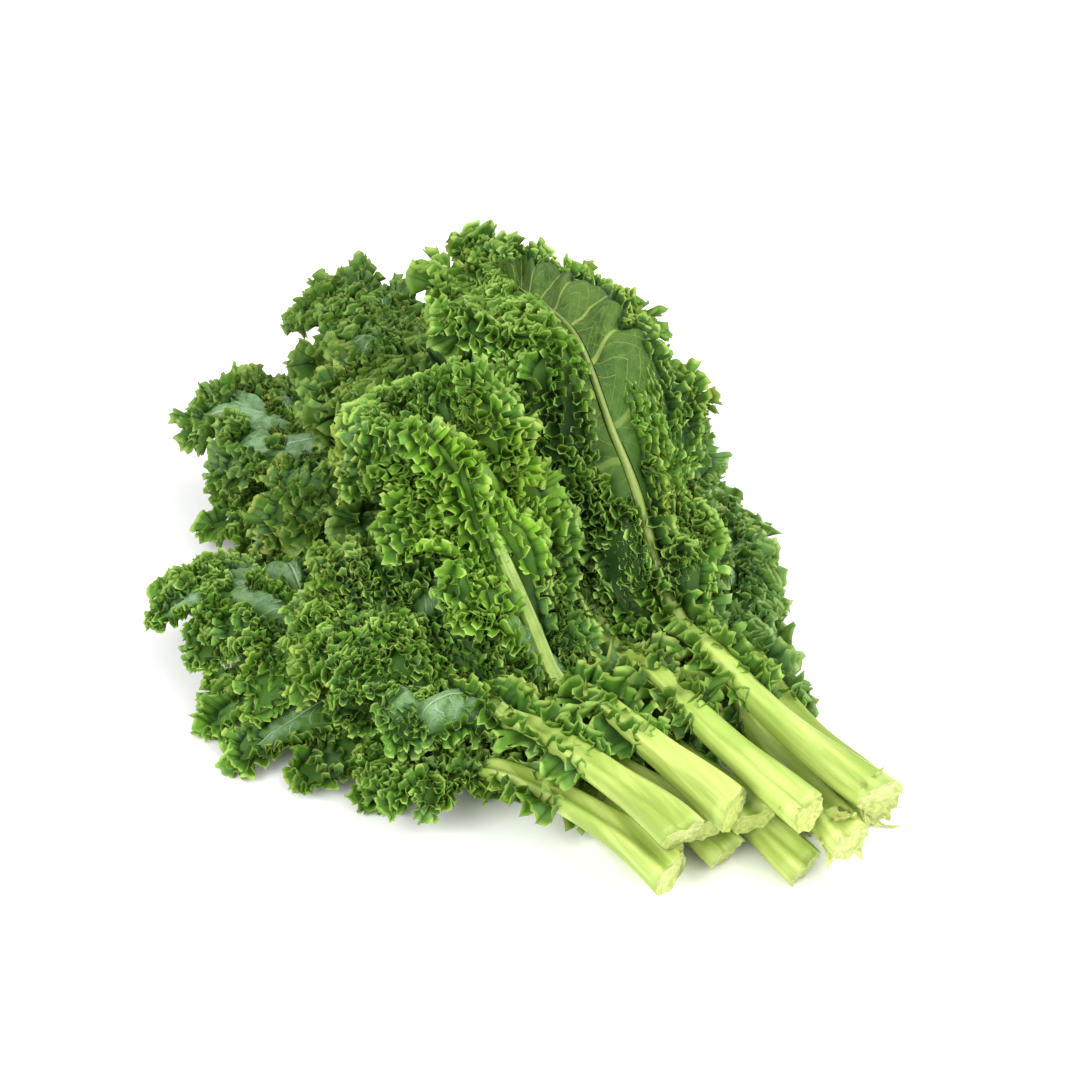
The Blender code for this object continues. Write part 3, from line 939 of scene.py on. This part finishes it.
def leaf_veins(made):
    """1 on a vein: one along every half lobe, their branches, and a fine net between them."""
    place, across, bloom = made.attribute("place"), made.attribute("across"), made.attribute("bloom")
    lobe_off = made.node("ShaderNodeMath", {"operation": "PINGPONG"}, place * 2.0, 0.5)
    side_vein = (lobe_off + across * 0.045).band(0.080, 0.036)
    branch = made.node("ShaderNodeMath", {"operation": "FRACT"}, across * 5.0 - lobe_off * 4.0)
    branch_vein = made.node("ShaderNodeMath", {"operation": "PINGPONG"}, branch, 0.5).band(0.06, 0.02) * 0.6
    settings = {"feature": "DISTANCE_TO_EDGE"}
    net = made.node("ShaderNodeTexVoronoi", settings, Vector=made.coordinates(), Scale=VEIN_NET)
    veins = made.node("ShaderNodeMath", {"operation": "MAXIMUM"}, side_vein, branch_vein)
    return made.node("ShaderNodeMath", {"operation": "MAXIMUM"}, veins, net.band(0.06, 0.0) * 0.3) * bloom


# %% The leaf's finish
LEAF_BROAD, LEAF_MIDDLE, LEAF_FINE, LEAF_PUCKERS, RIM_BREAKUP, RIM_TINT = 26.0, 55.0, 260.0, 130.0, 90.0, 19.0
THROUGH, THROUGH_COLOUR = 0.14, colour(0.30, 0.52, 0.05)


def leaf_body(made, colours, bloom_share, broad, fine):
    """The colour from a frill's foot, in painted shade, to its rim, lightened as painted highlight, or of
    the smooth patch, its wax bloom made paler as painted sheen, where bloom is 1.
    """
    rim, middle = made.attribute("rim"), made.noise(LEAF_MIDDLE)
    body = made.mix(broad.band(0.36, 0.66), colours.green, colours.fresh)
    # Pale bluish tints here and there: the wax bloom, made paler as painted sheen.
    body = made.mix(middle.band(0.50, 0.68) * 0.4, body, colours.bloom)
    # Painted shade: darker at a frill's foot and on the blade between the frills.
    body = made.mix(rim.band(0.62, 0.08) * 0.9, body, colours.dark)
    # Painted highlight: lighter towards a frill's free edge.
    body = made.mix(rim.band(0.60, 0.88) * 0.6, body, colours.fresh)
    # The smooth patches: bluish wax bloom, made paler as painted sheen, broken up by noise.
    wax_and_sheen = made.mix((fine * 0.4 + broad * 0.6).band(0.38, 0.62), colours.bloom, colours.green)
    return made.mix(made.attribute("bloom") * bloom_share, body, wax_and_sheen)


def leaf_finish(name, colours, bloom_share):
    made = Finish(name)
    if colours == YOUNG_AND_LIT:
        colours = young_and_lit_middle(made)
    broad, fine, veins = made.noise(LEAF_BROAD), made.noise(LEAF_FINE, 3.0), leaf_veins(made)
    body = leaf_body(made, colours, bloom_share, broad, fine)
    body = made.mix(veins * 0.9, body, colours.vein)
    # The thin rim, partly the leaf's own yellow-green and partly painted highlight, broken up by noise and
    # olive here and there.
    rim_breakup = 0.30 + 0.60 * made.noise(RIM_BREAKUP).band(0.38, 0.60)
    tint = made.mix(made.noise(RIM_TINT).band(0.46, 0.64) * 0.55, colours.rim, OLIVE)
    body = made.mix(made.attribute("rim").band(0.76, 0.94) * rim_breakup, body, tint)
    made.feed(made.surface.inputs["Base Color"], body)
    made.feed(made.surface.inputs["Roughness"], 0.42 + 0.25 * fine)
    made.surface.inputs["Specular IOR Level"].default_value = 0.2
    relief = fine * 0.5 + veins + made.attribute("bloom") * made.noise(LEAF_PUCKERS) * 2.5
    made.feed(made.surface.inputs["Normal"], made.bump(relief, 0.6, 0.0010))
    glow = made.node("ShaderNodeBsdfTranslucent", {}, Color=THROUGH_COLOUR)
    both = made.node("ShaderNodeMixShader", {}, THROUGH)
    made.tree.links.new(made.surface.outputs[0], both.socket.node.inputs[1])
    made.tree.links.new(glow.socket, both.socket.node.inputs[2])
    made.tree.links.new(both.socket, made.output.inputs[0])
    return made.material


# %% The leaf finishes
leaf_green = leaf_finish("kale_leaf_green", COMMON, 0.9)
leaf_deep = leaf_finish("kale_leaf_deep", DEEP, 0.9)
leaf_cool = leaf_finish("kale_leaf_cool", COOL, 0.9)
leaf_bright = leaf_finish("kale_leaf_bright", YOUNG_AND_LIT, 0.7)
leaf_pale = leaf_finish("kale_leaf_underside", UNDERSIDE, 1.0)
LEAF_FINISHES = {
    2: leaf_cool, 7: leaf_cool, 9: leaf_cool, 10: leaf_deep, 12: leaf_deep, 13: leaf_pale, 14: leaf_bright
}
print("five leaf finishes;", len(LEAF_FINISHES), "leaves don't have the common one")

# %% [markdown]
# ## The stalk's colours
#
# The stalk is pale yellow-green and moist, streaked along its length, and greener where it enters
# the leaf. Its cut face is paler, with a ring of darker bundles, the vessels, and an edge that has
# browned a little in the air.

# %% Stalk material
def stalk_finish():
    made = Finish("kale_stalk")
    cap, along, turned = made.attribute("rim"), made.attribute("across"), made.attribute("bloom")
    streaks = made.noise(150.0, 4.0, stretch=(0.07, 1.0, 1.0))
    broad, fine = made.noise(32.0), made.noise(600.0)
    body = made.mix(streaks.band(0.34, 0.66), colour(0.26, 0.36, 0.055), colour(0.50, 0.60, 0.155))
    body = made.mix(broad.band(0.48, 0.72) * 0.55, body, colour(0.24, 0.37, 0.045))
    body = made.mix(along.band(-0.45, -0.05) * 0.35, body, colour(0.27, 0.42, 0.06))
    body = made.mix(along.band(0.0, 0.6) * 0.8, body, colour(0.21, 0.32, 0.075))
    body = made.mix(along.band(-0.02, 0.16) * turned * 0.9, body, colour(0.150, 0.212, 0.030))
    pith = made.mix(fine.band(0.38, 0.64), colour(0.42, 0.48, 0.12), colour(0.53, 0.59, 0.19))
    bundles = cap.band(0.70, 0.76) * cap.band(0.90, 0.80) * made.noise(420.0).band(0.46, 0.60)
    pith = made.mix(bundles * 0.7, pith, colour(0.25, 0.33, 0.055))
    pith = made.mix(cap.band(0.78, 0.70) * broad.band(0.35, 0.60) * 0.5, pith, colour(0.33, 0.29, 0.08))
    body = made.mix(cap.band(0.35, 0.72), body, pith)
    made.feed(made.surface.inputs["Base Color"], body)
    made.feed(made.surface.inputs["Roughness"], 0.30 + 0.25 * broad)
    ribs = streaks * cap.band(0.6, 0.3)
    made.feed(made.surface.inputs["Normal"], made.bump(ribs + fine * 0.05, 0.5, 0.0012))
    made.surface.inputs["Subsurface Weight"].default_value = 0.10
    made.surface.inputs["Subsurface Radius"].default_value = (0.004, 0.005, 0.001)
    made.surface.inputs["Subsurface Scale"].default_value = 1.0
    return made.material


stalk_green = stalk_finish()

# %% Every piece gets its finish, its body and the solid that it stands for
for number, (blade, stalk) in enumerate(zip(blades, stalks)):
    finish = LEAF_FINISHES.get(number + 1, leaf_green)
    for piece, made, kind in ((blade, finish, "blade"), (stalk, stalk_green, "stalk")):
        piece.data.materials.clear()
        piece.data.materials.append(made)
        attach(piece, "root")
        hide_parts(f"leaf_{number + 1:02d}_{kind}")
print("finished", len(blades) + len(stalks), "pieces")

# %% [markdown]
# ## Floor, light and camera
#
# The photograph is taken on a white sweep under a broad, soft light from above and behind, with
# weaker ones from the right and from the front. The floor is plain and pale.

# %% Floor
bpy.ops.object.select_all(action="DESELECT")
bpy.ops.mesh.primitive_plane_add(size=12, location=(0, 0, -0.0006))
floor = bpy.context.object
floor.name = "floor"
paper = Finish("white_paper")
paper.surface.inputs["Base Color"].default_value = colour(0.92, 0.92, 0.92)
paper.surface.inputs["Roughness"].default_value = 0.9
floor.data.materials.append(paper.material)


# %% Lights
def softbox(name, place, aim, size, watts):
    data = bpy.data.lights.new(name, "AREA")
    data.shape, data.size, data.energy = "SQUARE", size, watts
    lamp = bpy.data.objects.new(name, data)
    bpy.context.scene.collection.objects.link(lamp)
    lamp.location = place
    lamp.rotation_mode = "QUATERNION"
    lamp.rotation_quaternion = (Vector(aim) - Vector(place)).to_track_quat("-Z", "Y")


LAMPS = (
    ("key", (0.35, 0.75, 1.6), 1.0, 21),
    ("side", (1.3, 0.45, 0.9), 1.2, 12),
    ("fill", (0.5, -1.5, 1.3), 1.2, 34),
)
for name, place, size, watts in LAMPS:
    softbox(name, place, (0, 0, 0.05), size, watts)
world = bpy.data.worlds.new("pale_room")
world.use_nodes = True
world.node_tree.nodes["Background"].inputs["Color"].default_value = (1, 1, 1, 1)
world.node_tree.nodes["Background"].inputs["Strength"].default_value = 0.8
bpy.context.scene.world = world
bpy.context.scene.view_settings.view_transform = "Standard"

# %% Camera
CAMERA_AZIMUTH, CAMERA_ELEVATION, CAMERA_DISTANCE = math.radians(58), math.radians(36), 0.845
aim = Vector((-MIDDLE[0], -MIDDLE[1], 0.045))
back = Vector((
    math.sin(CAMERA_AZIMUTH) * math.cos(CAMERA_ELEVATION),
    -math.cos(CAMERA_AZIMUTH) * math.cos(CAMERA_ELEVATION),
    math.sin(CAMERA_ELEVATION),
))
camera = bpy.data.objects.new("camera", bpy.data.cameras.new("camera"))
bpy.context.scene.collection.objects.link(camera)
camera.location = aim + back * CAMERA_DISTANCE
camera.rotation_mode = "QUATERNION"
camera.rotation_quaternion = (-back).to_track_quat("-Z", "Y")
camera.data.lens, camera.data.sensor_width = 60, 36
camera.data.clip_start = 0.01
bpy.context.scene.camera = camera
